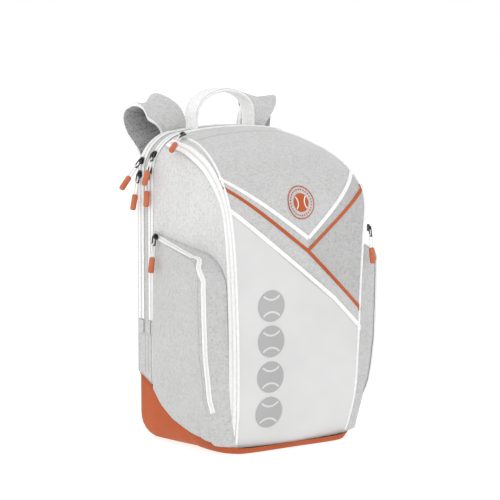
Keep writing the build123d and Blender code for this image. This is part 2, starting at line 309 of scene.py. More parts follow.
# ---- materials ----------------------------------------------------------------------------
class Shade:
    """A node material under construction."""

    def __init__(self, name, color, rough, sheen=0.0, metal=0.0, spec=0.5, coat=0.0):
        self.mat = bpy.data.materials.new(name)
        self.mat.use_nodes = True
        self.tree = self.mat.node_tree
        self.bsdf = self.tree.nodes["Principled BSDF"]
        self.bsdf.inputs["Base Color"].default_value = (*color, 1)
        self.bsdf.inputs["Roughness"].default_value = rough
        self.bsdf.inputs["Metallic"].default_value = metal
        self.bsdf.inputs["Specular IOR Level"].default_value = spec
        self.bsdf.inputs["Coat Weight"].default_value = coat
        self.bsdf.inputs["Sheen Weight"].default_value = sheen
        self.bsdf.inputs["Sheen Roughness"].default_value = 0.6
        self.coord = self.node("ShaderNodeTexCoord").outputs["Object"]
        self.height = None

    def node(self, kind, **sockets):
        made_node = self.tree.nodes.new(kind)
        for key, value in sockets.items():
            made_node.inputs[key.replace("_", " ")].default_value = value
        return made_node

    def link(self, a, b):
        self.tree.links.new(a, b)

    def noise(self, scale, detail=3.0, stretch=None, roughness=0.6):
        tex = self.node("ShaderNodeTexNoise", Scale=scale, Detail=detail, Roughness=roughness)
        self.link(self.stretched(stretch), tex.inputs["Vector"])
        return tex.outputs["Fac"]

    def stretched(self, stretch):
        if not stretch:
            return self.coord
        turn = self.node("ShaderNodeMapping")
        turn.inputs["Scale"].default_value = stretch
        self.link(self.coord, turn.inputs["Vector"])
        return turn.outputs["Vector"]

    def wave(self, axis, scale, distortion=0.0):
        tex = self.node("ShaderNodeTexWave", Scale=scale, Distortion=distortion)
        tex.bands_direction = axis
        tex.inputs["Detail"].default_value = 1.0
        tex.inputs["Detail Scale"].default_value = 2.0
        self.link(self.coord, tex.inputs["Vector"])
        return tex.outputs["Fac"]

    def math(self, how, a, b):
        op = self.tree.nodes.new("ShaderNodeMath")
        op.operation = how
        for socket, value in zip(op.inputs, (a, b)):
            if isinstance(value, (int, float)):
                socket.default_value = value
            else:
                self.link(value, socket)
        return op.outputs[0]

    def ramp(self, fac, stops):
        ramp = self.tree.nodes.new("ShaderNodeValToRGB")
        while len(ramp.color_ramp.elements) < len(stops):
            ramp.color_ramp.elements.new(0.5)
        for e, (at, color) in zip(ramp.color_ramp.elements, stops):
            e.position = at
            e.color = (*color, 1)
        self.link(fac, ramp.inputs["Fac"])
        return ramp.outputs["Color"]

    def color(self, fac, stops):
        self.link(self.ramp(fac, stops), self.bsdf.inputs["Base Color"])

    def mixed(self, first, second, fac):
        """Multiplies two colours by a factor."""
        mix = self.tree.nodes.new("ShaderNodeMix")
        mix.data_type = "RGBA"
        mix.blend_type = "MULTIPLY"
        mix.inputs["Factor"].default_value = fac
        self.link(first, mix.inputs["A"])
        self.link(second, mix.inputs["B"])
        return mix.outputs["Result"]

    def bump(self, fac, strength, distance):
        bump = self.tree.nodes.new("ShaderNodeBump")
        bump.inputs["Strength"].default_value = strength
        bump.inputs["Distance"].default_value = distance
        self.link(fac, bump.inputs["Height"])
        if self.height:
            self.link(self.height, bump.inputs["Normal"])
        self.height = bump.outputs["Normal"]
        self.link(self.height, self.bsdf.inputs["Normal"])
        return self


def grey(v):
    """A neutral grey given as an sRGB value from 0 to 255."""
    c = v / 255
    lin = c / 12.92 if c <= 0.04045 else ((c + 0.055) / 1.055) ** 2.4
    return (lin, lin, lin * 0.995)


def heather(name, light, dark, rough=0.85, fibre=420.0):
    """Woven melange cloth: two tones of yarn with a plain weave."""
    s = Shade(name, grey(light), rough, sheen=0.25, spec=0.3)
    yarn = s.noise(fibre, 4.0, (1.0, 1.0, 0.35))
    cross = s.noise(fibre * 1.1, 4.0, (0.35, 0.5, 1.0))
    mixed_yarn = s.math("MULTIPLY", s.math("ADD", yarn, cross), 0.5)
    cloud = s.noise(14.0, 2.0)
    tone = s.ramp(mixed_yarn, [(0.36, grey(dark)), (0.5, grey(lerp(dark, light, 0.7))), (0.62, grey(light))])
    wear = s.ramp(cloud, [(0.3, (0.95, 0.95, 0.95)), (0.7, (1, 1, 1))])
    s.link(s.mixed(tone, wear, 1.0), s.bsdf.inputs["Base Color"])
    weave = s.math("MULTIPLY", s.wave("X", 520.0), s.wave("Z", 520.0))
    s.bump(weave, 0.25, 0.0003)
    s.bump(s.noise(60.0, 3.0), 0.12, 0.001)
    return s.mat


def coated(name, light, dark, rough):
    """Smooth coated cloth with a faint leather-like grain."""
    s = Shade(name, grey(light), rough, sheen=0.05, spec=0.4, coat=0.05)
    s.color(s.noise(8.0, 3.0), [(0.3, grey(dark)), (0.7, grey(light))])
    s.bump(s.noise(900.0, 2.0), 0.12, 0.0002)
    s.bump(s.noise(30.0, 2.0), 0.1, 0.001)
    return s.mat


def tape_cloth(name, light, dark, ribs=900.0, axis="Z"):
    """Woven tape with fine ribs."""
    s = Shade(name, grey(light), 0.7, sheen=0.15, spec=0.3)
    s.color(s.noise(200.0, 3.0), [(0.3, grey(dark)), (0.65, grey(light))])
    s.bump(s.wave(axis, ribs), 0.3, 0.0003)
    return s.mat


def orange_cloth():
    """Burnt orange coated cloth, a little darker where it has been handled."""
    s = Shade("orange_coated_cloth", (0.5, 0.11, 0.04), 0.6, spec=0.3)
    tone = s.ramp(s.noise(9.0, 4.0), [(0.3, (0.43, 0.08, 0.02)), (0.7, (0.55, 0.12, 0.032))])
    grain = s.ramp(s.noise(700.0, 2.0), [(0.35, (0.88, 0.88, 0.88)), (0.6, (1, 1, 1))])
    s.link(s.mixed(tone, grain, 1.0), s.bsdf.inputs["Base Color"])
    weave = s.math("MULTIPLY", s.wave("X", 450.0), s.wave("Z", 450.0))
    s.bump(weave, 0.25, 0.0003)
    s.bump(s.noise(35.0, 3.0), 0.25, 0.002)
    return s.mat


def air_mesh(name, light, dark, cell=320.0):
    """Knitted spacer mesh: small dark holes in a grey knit."""
    s = Shade(name, grey(light), 0.9, sheen=0.2, spec=0.2)
    holes = s.node("ShaderNodeTexVoronoi", Scale=cell)
    s.link(s.coord, holes.inputs["Vector"])
    s.color(holes.outputs["Distance"], [(0.1, grey(dark)), (0.42, grey(light))])
    s.bump(holes.outputs["Distance"], 0.6, 0.0008)
    return s.mat


def rubber():
    """Moulded orange rubber of the grips."""
    s = Shade("orange_grip_rubber", (0.62, 0.17, 0.07), 0.5, spec=0.45)
    s.color(s.noise(60.0, 2.0), [(0.3, (0.48, 0.12, 0.045)), (0.7, (0.58, 0.16, 0.065))])
    s.bump(s.noise(1400.0, 2.0), 0.15, 0.0002)
    return s.mat


def metal():
    """Black lacquered zinc with light rubbing."""
    s = Shade("black_lacquered_zinc", (0.02, 0.02, 0.022), 0.32, metal=0.7, spec=0.5, coat=0.3)
    s.color(s.noise(260.0, 3.0), [(0.35, (0.012, 0.012, 0.013)), (0.75, (0.05, 0.05, 0.052))])
    s.bump(s.noise(800.0, 2.0), 0.06, 0.0002)
    return s.mat


def acetal():
    """Black moulded plastic of the buckles."""
    s = Shade("black_acetal", (0.03, 0.03, 0.03), 0.45, spec=0.4)
    s.color(s.noise(120.0, 2.0), [(0.3, (0.024, 0.024, 0.024)), (0.7, (0.04, 0.04, 0.04))])
    s.bump(s.noise(1500.0, 2.0), 0.1, 0.0002)
    return s.mat


SIDE_CLOTH = heather("side_heather", 224, 194)
TOP_CLOTH = heather("front_heather", 206, 178)
BAND_CLOTH = heather("middle_heather", 206, 178)
RIGHT_CLOTH = heather("right_heather", 192, 164)
POCKET_CLOTH = heather("pocket_heather", 202, 172)
GUSSET_CLOTH = heather("gusset_heather", 204, 176)
STRAP_CLOTH = heather("strap_heather", 210, 180)
LOWER_CLOTH = coated("pale_coated_cloth", 216, 208, 0.5)
PRINT = coated("grey_print", 176, 166, 0.55)
WHITE = tape_cloth("white_tape", 250, 238)
WEBBING = tape_cloth("white_webbing", 247, 232, 700.0, "X")
TEETH = coated("white_zip_teeth", 240, 226, 0.35)
GREY_STITCH = coated("grey_thread", 190, 175, 0.6)
LINING = heather("grey_lining", 165, 140, 0.9)
MESH = air_mesh("spacer_mesh", 160, 80)
BACK_MESH = air_mesh("back_spacer_mesh", 190, 110)
ORANGE = orange_cloth()
RUBBER, METAL, ACETAL = rubber(), metal(), acetal()


# ---- the front half -----------------------------------------------------------------------
ORANGE_LINE = [(-136, 427), (12, 319), (128, 213)]
BRANCH_LINE = [(12, 319), (143, 416)]
LOW_LINE = [(-136, 393), (67, 238), (130, 181)]
V_LINE = [(-134, 440), (13, 339), (134, 440)]


def edge_at(t):
    return spline(EDGE, t)


def front_point(u, t):
    """A point of the front panel: u across from -1 to 1, t from the bottom over to the zip."""
    e, m = edge_at(t), spline([(0, y, z) for y, z in MIDDLE], t)
    k = abs(u) ** 2.2
    return Vector((e.x * -u, lerp(m.y, e.y, k), lerp(m.z, e.z, k)))


def on_front(x, z, proud=0.0):
    """The point of the front face with that X and Z, lifted off the cloth."""
    u, t = 0.0, 0.4
    low, high = 0.0, 0.86
    for _ in range(28):
        t = (low + high) / 2
        e = edge_at(t)
        u = max(-1.0, min(1.0, x / -e.x))
        if front_point(u, t).z < z:
            low = t
        else:
            high = t
    p = front_point(u, t)
    a = front_point(min(u + 0.02, 1), t) - front_point(u - 0.02, t)
    b = front_point(u, t + 0.01) - front_point(u, t - 0.01)
    n = a.cross(b).normalized()
    if n.y > 0:
        n = -n
    return p + n * proud, n


def front_material(p):
    """Which cloth the front panel shows at a point."""
    low = table(LOW_LINE, p.x)
    if p.z < low and p.y < -60:
        return 1
    if p.z < table(ORANGE_LINE, p.x) and p.y < -40:
        return 2
    if p.x > 13 and p.z < table(V_LINE[1:], p.x) and p.y < -40:
        return 3
    return 0


def front_panel():
    """One crowned panel from the base over the top to the main zip."""
    ts, us = 150, 110
    rows = [[front_point(-1 + 2 * j / us, i / ts) for j in range(us + 1)] for i in range(ts + 1)]

    def pick(i, j):
        return front_material((rows[i][j] + rows[i + 1][j + 1]) / 2)

    piece = grid("front_panel", rows, "front_lid",
                 [TOP_CLOTH, LOWER_CLOTH, BAND_CLOTH, RIGHT_CLOTH, LINING], pick)
    fix_normals(piece, (0, 40, 250))
    ripple(piece, 0.7, 60, 1.0)
    thicken(piece, 3.5, 4)
    return piece


def side_x(y, z):
    """X of the left side wall, from the front edge back to the main zip."""
    t = side_t(z)
    e = edge_at(t)
    s = min(max((y - e.y) / (SEAM_Y - e.y), 0.0), 1.0)
    bulge = 4.0 * math.sin(math.pi * s) * smooth((z - 20) / 80) * smooth((500 - z) / 60)
    return -(lerp(-e.x, outline(min(z, 497.5)), s ** 0.9) + bulge)


def skin_normal(x_at, y, z):
    """Outward normal, on the left, of a side skin given by its X at each (y, z)."""
    dy = (x_at(y + 1.5, z) - x_at(y - 1.5, z)) / 3
    dz = (x_at(y, z + 1.5) - x_at(y, z - 1.5)) / 3
    return Vector((-1, dy, dz)).normalized()


def side_t(z):
    """The t at which the front panel's edge reaches a height."""
    low, high = 0.0, 1.0
    for _ in range(24):
        mid = (low + high) / 2
        if edge_at(mid).z < z:
            low = mid
        else:
            high = mid
    return (low + high) / 2


def side_wall(sign, name):
    """Side panel of the front half, between the front panel, the base rim and the main zip."""
    rows = []
    levels = 110
    for i in range(levels + 1):
        z = lerp(10.5, 497.3, i / levels)
        front = edge_at(side_t(z)).y
        back = max(min(SEAM_Y - 0.6, rim_back(z - 0.6)), front + 0.4)
        row = []
        for j in range(41):
            y = lerp(front, back, j / 40)
            row.append(Vector((side_x(y, z) * sign, y, z)))
        rows.append(row)
    piece = grid(name, rows, "front_lid", [SIDE_CLOTH, LINING])
    fix_normals(piece, (0, 0, 250))
    ripple(piece, 0.8, 55, 3.0 + sign)
    thicken(piece, 3.0, 1)
    return piece


# ---- rear half and base -------------------------------------------------------------------
def rear_half():
    """Ring gusset behind the main zip, and the back panel."""
    rows = []
    depth = [70.6, 74, 80, 86, 92, 98, 104, 108, 110.6, 111.8, 112.2]
    inset = [0, 0, 0, 0, 0, 0, 0, -0.4, -1.6, -3.4, -6.0]
    for y, grow in zip(depth, inset):
        low = rim(y) + 0.6
        rows.append([Vector((p[0], y, p[1])) for p in
                     (arch(j / 200, low, grow) for j in range(201))])
    piece = grid("rear_half", rows, "pack", [GUSSET_CLOTH, LINING])
    fix_normals(piece, (0, 91, 260))
    thicken(piece, 3.0, 1)
    last = rows[-1]
    n = len(last)
    back = []
    for k in range(13):
        f = k / 12
        back.append([Vector((lerp(last[j].x, last[n - 1 - j].x, f), 112.2 + 1.6 * math.sin(math.pi * f),
                             last[j].z)) for j in range(n // 2 + 1)])
    panel = grid("back_panel", back, "pack", [MESH, LINING])
    fix_normals(panel, (0, 60, 260))
    thicken(panel, 3.0, 1)
    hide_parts("rear_shell")
    return piece


def plan_point(k):
    """(x, y) round the base's plan, k from 0 to 1 from the front middle by the left."""
    ring = [(0, -113), (-60, -113), (-100, -110), (-117, -101), (-130, -85), (-140, -50), (-146, 0),
            (-149, 50), (-150, 85), (-149, 100), (-144, 109), (-134, 112), (-70, 112), (0, 112)]
    if k <= 0.5:
        p = spline([(x, y, 0) for x, y in ring], k * 2)
        return p.x, p.y
    p = spline([(x, y, 0) for x, y in ring], (1 - k) * 2)
    return -p.x, p.y


def base_tray():
    """Moulded orange base: the wall below the rim, a rounded foot and a flat floor."""
    count, rows = 220, []
    levels = [1.0, 0.9, 0.78, 0.66, 0.54, 0.42, 0.32, 0.23, 0.15, 0.08, 0.03, 0.0]
    for level in levels:
        row = []
        for j in range(count):
            x, y = plan_point(j / count)
            top = rim(y)
            z = top * level
            foot = min(42.0, max(top * 1.2, 9.0)) if y > -100 else max(top * 1.1, 9)
            inset = foot - math.sqrt(max(foot ** 2 - max(foot - z, 0) ** 2, 0))
            length = math.hypot(x, y)
            k = 1 - inset * 0.85 / length
            row.append(Vector((x * k, y * k, z)))
        rows.append(row)
    for shrink in (0.7, 0.35, 0.02):
        rows.append([Vector((p.x * shrink, p.y * shrink, 0.0)) for p in rows[len(levels) - 1]])
    piece = grid("base_tray", rows, "pack", [ORANGE, LINING], closed=True)
    fix_normals(piece, (0, 0, 60))
    mesh = piece.data
    for v in mesh.vertices:
        fold = noise.noise(Vector((v.co.x * 18, v.co.y * 34, v.co.z * 10)))
        v.co += Vector((v.normal.x, v.normal.y, 0)) * fold * 1.6 * MM * smooth(v.co.z / 0.03)
    thicken(piece, 3.0, 1)
    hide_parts("base")
    line = []
    for j in range(count):
        x, y = plan_point(j / count)
        line.append(Vector((x, y, rim(y) - 0.4)) + Vector((x, y, 0)).normalized() * 0.5)
    rope("base_rim_piping", line, 1.3, "pack", [ORANGE], closed=True)
    return piece


# ---- side pockets -------------------------------------------------------------------------
POCKET_FRONT, POCKET_REAR, POCKET_ROUND = -107.0, 63.0, 44.0


def pocket_top(y):
    return lerp(313, 344, (y + 108) / 170)


def pocket_cut(front):
    """How far the rounded corner drops the pocket's top, so far behind the front edge."""
    return POCKET_ROUND - math.sqrt(max(POCKET_ROUND ** 2 - max(POCKET_ROUND - front, 0) ** 2, 0))


def pocket_depth(y, z):
    """Distance inside the pocket's rounded top and front edges."""
    front = max(y - POCKET_FRONT, 0.01)
    top = max((pocket_top(y) - pocket_cut(front) - z) * 2.2, 0.01)
    return (front ** -3 + top ** -3) ** (-1 / 3)


def pocket_x(y, z, sign=1):
    """X of a pocket's skin, as on the left; the right one (sign -1) is stuffed fuller at the front."""
    wall = side_x(y, z) - 0.8
    bulge = table([(0, -136), (40, -146), (90, -159), (160, -170), (270, -174), (400, -168)], z)
    out = lerp(-152.5, bulge, smooth((POCKET_REAR - y) / 175) * 0.4 + (POCKET_REAR - y) / 175 * 0.6)
    out -= 3.0 * math.sin(math.pi * min(max((POCKET_REAR - y) / 175, 0), 1)) * smooth(z / 120)
    if sign < 0:
        out -= 11.0 * smooth((-54 - y) / 40) * smooth(z / 130)
    depth = pocket_depth(y, z) * (1.0 if sign > 0 else 1.25)
    rise = smooth(depth / 17.0) * 0.75 + min(depth / 17.0, 1.0) * 0.25
    sag = 1.5 * noise.noise(Vector((y / 45, z / 60, 2.0))) * smooth(depth / 30)
    crease = 3.0 * math.exp(-((y + 78 + (z - 20) * 0.28) / 5.0) ** 2) * smooth((95 - z) / 40)
    crease += 2.0 * math.exp(-((y + 52 + (z - 20) * 0.5) / 6.0) ** 2) * smooth((75 - z) / 40)
    return min(wall, wall + (min(out, wall) - wall) * rise + sag + crease)


def pocket(sign, name, node):
    """A bulging zipped pocket with a slanted gusset, cut along the base rim."""
    rows = []
    for i in range(96):
        f = i / 95
        row = []
        for j in range(80):
            y = lerp(POCKET_FRONT, POCKET_REAR, (j / 79) ** 1.15)
            low = rim(y) + 0.8
            high = pocket_top(y) - pocket_cut(max(y - POCKET_FRONT, 0.0))
            z = lerp(low, high, 1 - (1 - f) ** 1.15)
            row.append(Vector((pocket_x(y, z, sign) * sign, y, z)))
        rows.append(row)

    def pick(i, j):
        p = rows[i][j]
        return 1 if pocket_depth(p.y, p.z) < 13 else 0

    piece = grid(name, rows, "front_lid", [POCKET_CLOTH, GUSSET_CLOTH, LINING], pick)
    fix_normals(piece, (0, -20, 200))
    thicken(piece, 2.0)
    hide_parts(node)
    return piece


def pocket_edge(inset, sign, low=70.0, rear=54.0):
    """Points and normals along the pocket's top and front, a fixed distance inside its edge."""
    points = []
    r = POCKET_ROUND - inset
    top_inset = inset * 0.45
    high = POCKET_ROUND - top_inset
    corner = (POCKET_FRONT + POCKET_ROUND, pocket_top(POCKET_FRONT + POCKET_ROUND) - POCKET_ROUND)
    for i in range(40):
        y = lerp(rear, corner[0], i / 40)
        points.append((y, pocket_top(y) - top_inset))
    for i in range(24):
        a = math.radians(90 * i / 24)
        points.append((corner[0] - r * math.sin(a), corner[1] + high * math.cos(a)))
    for i in range(70):
        points.append((POCKET_FRONT + inset, lerp(corner[1], low, i / 69)))
    out, normals = [], []
    for y, z in points:
        x = pocket_x(y, z, sign)
        n = skin_normal(lambda a, b: pocket_x(a, b, sign), y, z)
        out.append(Vector((x * sign, y, z)) + Vector((n.x * sign, n.y, n.z)) * 0.4)
        normals.append(Vector((n.x * sign, n.y, n.z)))
    return out, normals


def pocket_zip(sign, tag):
    """White tape with a coil along the pocket's shoulder."""
    points, normals = pocket_edge(13.0, sign)
    piece = band("pocket_zip_tape_" + tag, points, normals, 8.0, 0.7, "front_lid", [WHITE])
    line = even([p + n * 0.7 for p, n in zip(points, normals)], 2.0)
    teeth("pocket_zip_teeth_" + tag, line, (points, normals), "front_lid", 2.6, 0.8)
    inner, inner_n = pocket_edge(19.0, sign)
    seam = even([p + n * 0.1 for p, n in zip(inner, inner_n)], 3.0)
    stitches("pocket_stitches_" + tag, seam, (inner, inner_n), "front_lid")
    return piece


# ---- zips and trim ------------------------------------------------------------------------
def arch_points(y, low, grow, count=260):
    pts, normals = [], []
    for j in range(count + 1):
        x, z, nx, nz = arch(j / count, low, grow)
        pts.append(Vector((x, y, z)))
        normals.append(Vector((nx, 0, nz)).normalized())
    return pts, normals


def long_zips():
    """Main zip, half on each side of the seam, and the laptop zip behind it."""
    for name, y, width, body in (("main_zip_tape_rear", 73.6, 6.0, "pack"),
                                 ("main_zip_tape_front", 66.4, 6.0, "front_lid")):
        pts, normals = arch_points(y, ZIP_END, 0.5)
        piece = band(name, pts, normals, width, 0.7, body, [WHITE])
        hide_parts("main_zip_rear" if body == "pack" else "main_zip_front")
    for name, y, body in (("main_zip_teeth_rear", 71.1, "pack"),
                          ("main_zip_teeth_front", 68.9, "front_lid")):
        pts, normals = arch_points(y, ZIP_END, 0.9)
        teeth(name, even(pts, 2.0), (pts, normals), body, 2.0, shift=0.0)
    for name, y in (("laptop_zip_tape_front", LAPTOP_Y - 4.2), ("laptop_zip_tape_rear", LAPTOP_Y + 4.2)):
        pts, normals = arch_points(y, ZIP_END, 0.4)
        piece = band(name, pts, normals, 6.4, 0.7, "pack", [WHITE])
    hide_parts("laptop_zip")
    pts, normals = arch_points(LAPTOP_Y, ZIP_END, 0.8)
    teeth("laptop_zip_teeth", even(pts, 2.0), (pts, normals), "pack", 2.6)
    for y, tag in ((79.5, "a"), (88.0, "b"), (105.5, "c")):
        seam, seam_n = arch_points(y, 112, 0.1)
        stitches("rear_stitches_" + tag, even(seam, 3.2), (seam, seam_n), "pack", (2.1, 0.7, 0.4))


def zip_end_patches():
    """Sewn patches where the two long zips stop, on both sides."""
    for sign, tag in ((-1, "left"), (1, "right")):
        for y, body, width in ((LAPTOP_Y, "pack", 13.0), (74.5, "pack", 6.0), (65.5, "front_lid", 6.0)):
            pts = [Vector((sign * (HALF + 1.1), y, z)) for z in (196, 190, 182, 174)]
            band(f"zip_end_{tag}_{int(y)}", pts, [Vector((sign, 0, 0))] * 4, width, 1.0,
                 body, [GUSSET_CLOTH])


def edge_band(offset, t_low, t_high, count, sign, lift):
    """A line on the side wall, a fixed distance behind the front panel's edge."""
    pts, normals = [], []
    for i in range(count + 1):
        t = lerp(t_low, t_high, i / count)
        e = edge_at(t)
        ahead = edge_at(min(t + 0.01, 1)) - edge_at(max(t - 0.01, 0))
        flat = Vector((0, ahead.y, ahead.z)).normalized()
        y = min(e.y + max(flat.z, 0.0) * offset, SEAM_Y - 5)
        z = e.z - flat.y * offset
        x = side_x(y, z)
        n = skin_normal(side_x, y, z)
        p = Vector((x, y, z)) + n * lift
        pts.append(Vector((-p.x * sign, p.y, p.z)))
        normals.append(Vector((-n.x * sign, n.y, n.z)))
    return pts, normals


def edge_zips():
    """White tape, coil and piping up both edges of the front panel."""
    for sign, tag in ((-1, "left"), (1, "right")):
        pts, normals = edge_band(10.0, 0.045, 0.93, 150, sign, 0.5)
        tape = band("racket_zip_tape_" + tag, pts, normals, 17.0, 0.7, "front_lid", [WHITE])
        if sign < 0:
            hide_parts("racket_zips")
        line, line_n = edge_band(10.0, 0.06, 0.92, 200, sign, 1.2)
        teeth("racket_zip_teeth_" + tag, even(line, 2.0), (line, line_n), "front_lid", 2.8)
        for offset, name in ((2.6, "front"), (17.4, "rear")):
            seam, seam_n = edge_band(offset, 0.05, 0.92, 150, sign, 1.3)
            stitches(f"racket_zip_stitches_{name}_{tag}", even(seam, 3.0), (seam, seam_n), "front_lid",
                     (2.0, 0.7, 0.35))
        edge = [edge_at(i / 200 * 0.965) for i in range(201)]
        edge = [Vector((-p.x * sign, p.y, p.z)) for p in edge]
        rope("front_piping_" + tag, edge, 1.9, "front_lid", [WHITE])
    seam = [front_point(-1 + 2 * j / 80, 0.965) + Vector((0, 0, 0.6)) for j in range(81)]
    rope("top_piping", seam, 1.7, "front_lid", [WHITE])


def stripe(name, line, width, mats, lift=0.8):
    """A flat band along a line on the front panel."""
    pts = even([Vector((x, 0, z)) for x, z in line], 3.0) + [Vector((line[-1][0], 0, line[-1][1]))]
    points, normals = [], []
    for p in pts:
        q, n = on_front(p.x, p.z, 0.3)
        points.append(q)
        normals.append(n)
    return band(name, points, normals, width, lift, "front_lid", mats)


def artwork():
    """Stripes, seams and a generic badge and print on the front panel."""
    low = stripe("white_diagonal", LOW_LINE, 7.0, [WHITE])
    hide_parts("white_stripes")
    stripe("white_v_left", V_LINE[:2], 6.5, [WHITE])
    stripe("white_v_right", V_LINE[1:], 6.5, [WHITE], 0.9)
    long = stripe("orange_diagonal", ORANGE_LINE, 5.5, [ORANGE])
    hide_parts("orange_stripes")
    stripe("orange_branch", BRANCH_LINE, 5.5, [ORANGE], 0.7)
    for name, line, shift in (("low_a", LOW_LINE, 5.5), ("low_b", LOW_LINE, -5.5)):
        pts = even([Vector((x, 0, z + shift)) for x, z in line], 3.2)
        seam = [on_front(p.x, p.z, 0.1) for p in pts]
        a, b = [s[0] for s in seam], [s[1] for s in seam]
        stitches("stitches_" + name, a, (a, b), "front_lid", (2.1, 0.6, 0.35))


def circle(cx, cz, radius, count):
    """(x, z) points round a circle."""
    turns = [2 * math.pi * k / count for k in range(count)]
    return [(cx + radius * math.cos(a), cz + radius * math.sin(a)) for a in turns]


def flat_ring(name, cx, cz, outer, inner, lift, high, mats, count=72, start=0.0, turn=360.0):
    """A raised ring or arc that follows the front panel."""
    rows = []
    steps = max(int(count * turn / 360), 6)
    for r, h in ((inner, lift), (inner, lift + high), (outer, lift + high), (outer, lift)):
        row = []
        for k in range(steps + 1):
            a = math.radians(start + turn * k / steps)
            row.append(on_front(cx + r * math.cos(a), cz + r * math.sin(a), h)[0])
        rows.append(row)
    rows.append(rows[0])
    return faceted(grid(name, rows, "front_lid", mats))


def flat_shape(name, outline_points, lift, high, mats):
    """A filled flat shape that follows the front panel: a fan from its middle."""
    cx = sum(p[0] for p in outline_points) / len(outline_points)
    cz = sum(p[1] for p in outline_points) / len(outline_points)
    n = len(outline_points)
    verts, faces = [on_front(cx, cz, lift + high)[0]], []
    for scale, h in ((0.5, lift + high), (1.0, lift + high), (1.0, lift)):
        verts += [on_front(lerp(cx, x, scale), lerp(cz, z, scale), h)[0] for x, z in outline_points]
    for k in range(n):
        m = (k + 1) % n
        faces.append((0, 1 + k, 1 + m))
        for ring in (0, 1):
            a, b = 1 + ring * n, 1 + (ring + 1) * n
            faces.append((a + k, b + k, b + m, a + m))
    piece = faceted(made(name, verts, faces, "front_lid", mats))
    fix_normals(piece, (cx, 0, cz))
    return piece


def badge():
    """A round woven patch with a plain ball and a ring of dots."""
    cx, cz = 2.0, 396.0
    backing = flat_ring("badge", cx, cz, 26.0, 24.6, 0.2, 0.6, [ORANGE])
    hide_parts("badge")
    flat_shape("badge_ball", circle(cx, cz, 14.5, 48), 0.2, 0.5, [ORANGE])
    for side in (-1, 1):
        flat_ring(f"badge_seam_{side + 1}", cx + side * 19.0, cz, 13.6, 11.9, 0.6, 0.4,
                  [WHITE], 60, 180 - 47 if side > 0 else -47, 94)
    for k, (x, z) in enumerate(circle(cx, cz, 20.3, 28)):
        flat_shape(f"badge_dot_{k:02d}", circle(x, z, 1.2, 8), 0.2, 0.4, [ORANGE])


def print_marks():
    """A column of plain balls, each with two curved seams, printed in grey."""
    centre_x, radius, first, pitch = -60.0, 25.0, 66.0, 57.0
    for k in range(4):
        cz = first + pitch * k
        flat_shape(f"print_ball_{k}", circle(centre_x, cz, radius, 56), 0.35, 0.3, [PRINT])
        for side in (-1, 1):
            flat_ring(f"print_seam_{k}_{side + 1}", centre_x, cz + side * radius * 1.25, radius * 0.92,
                      radius * 0.8, 0.65, 0.2, [LOWER_CLOTH], 60,
                      270 - 46 if side > 0 else 90 - 46, 92)
    panel = flat_shape("lower_panel_tab", [(-52, 44), (-50, 44), (-50, 42), (-52, 42)], 0.1, 0.1,
                       [LOWER_CLOTH])
    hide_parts("lower_panel")


def bellows():
    """Cloth inside the walls that joins both halves below the zip ends."""
    for sign, tag in ((-1, "left"), (1, "right")):
        rows = []
        for i in range(25):
            z = lerp(88, ZIP_END, i / 24)
            x = (outline(z) - 5.5) * sign
            rows.append([Vector((x, lerp(60, 80, j / 20), z)) for j in range(21)])
        piece = grid("side_bellows_" + tag, rows, None, [GUSSET_CLOTH, LINING])
        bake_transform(piece)
        rows = []
        rise = Vector((0, -0.42, 0.907))
        for i in range(23):
            off = lerp(-22, 13, i / 22)
            row = []
            for j in range(41):
                p = Vector((0, lerp(-100, 70, j / 40), 0))
                p.z = lerp(8, 88, j / 40)
                p += rise * off
                x = side_x(p.y, max(p.z, 12)) + lerp(13, 6, i / 22)
                row.append(Vector((x * -sign, p.y, max(p.z, 4))))
            rows.append(row)
        piece = grid("rim_bellows_" + tag, rows, None, [GUSSET_CLOTH, LINING])
        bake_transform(piece)


def top_seam():
    """A flat stitched seam across the top of the front panel."""
    t = 0.848
    seam = [front_point(-0.96 + 1.92 * j / 90, t) for j in range(91)]
    line = even([p + Vector((0, 0, 0.8)) for p in seam], 3.0)
    stitches("top_seam_stitches", line, ([seam[0]], [Vector((0, -0.1, 1))]), "front_lid", (2.1, 0.8, 0.4))


# ---- inside -------------------------------------------------------------------------------
def dividers():
    """Padded dividers, crowned like a quilt."""
    for name, y, body, node in (("laptop_divider_pad", 78.5, "pack", "laptop_divider"),
                                ("racket_divider_pad", -69.5, "front_lid", "racket_divider")):
        low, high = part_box(node)
        rows = []
        for side in (1, -1):
            for i in range(41):
                f = i / 40 if side > 0 else 1 - i / 40
                z = lerp(low.z * 1000, min(high.z * 1000, 476 if name[0] == "l" else 438), f)
                half = min(-low.x * 1000, outline(max(z, 12)) - 5) * (1 if name[0] == "l" else 0.97)
                if name[0] == "r":
                    half = min(half, -side_x(-69.5, min(z, 450)) - 5)
                quilt = 2.4 * (math.sin(math.pi * f) ** 0.3)
                rows.append([Vector((lerp(-half, half, j / 40), y + side * quilt
                                     * math.sin(math.pi * j / 40) ** 0.4, z)) for j in range(41)])
        piece = grid(name, rows, body, [LINING])
        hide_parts(node)


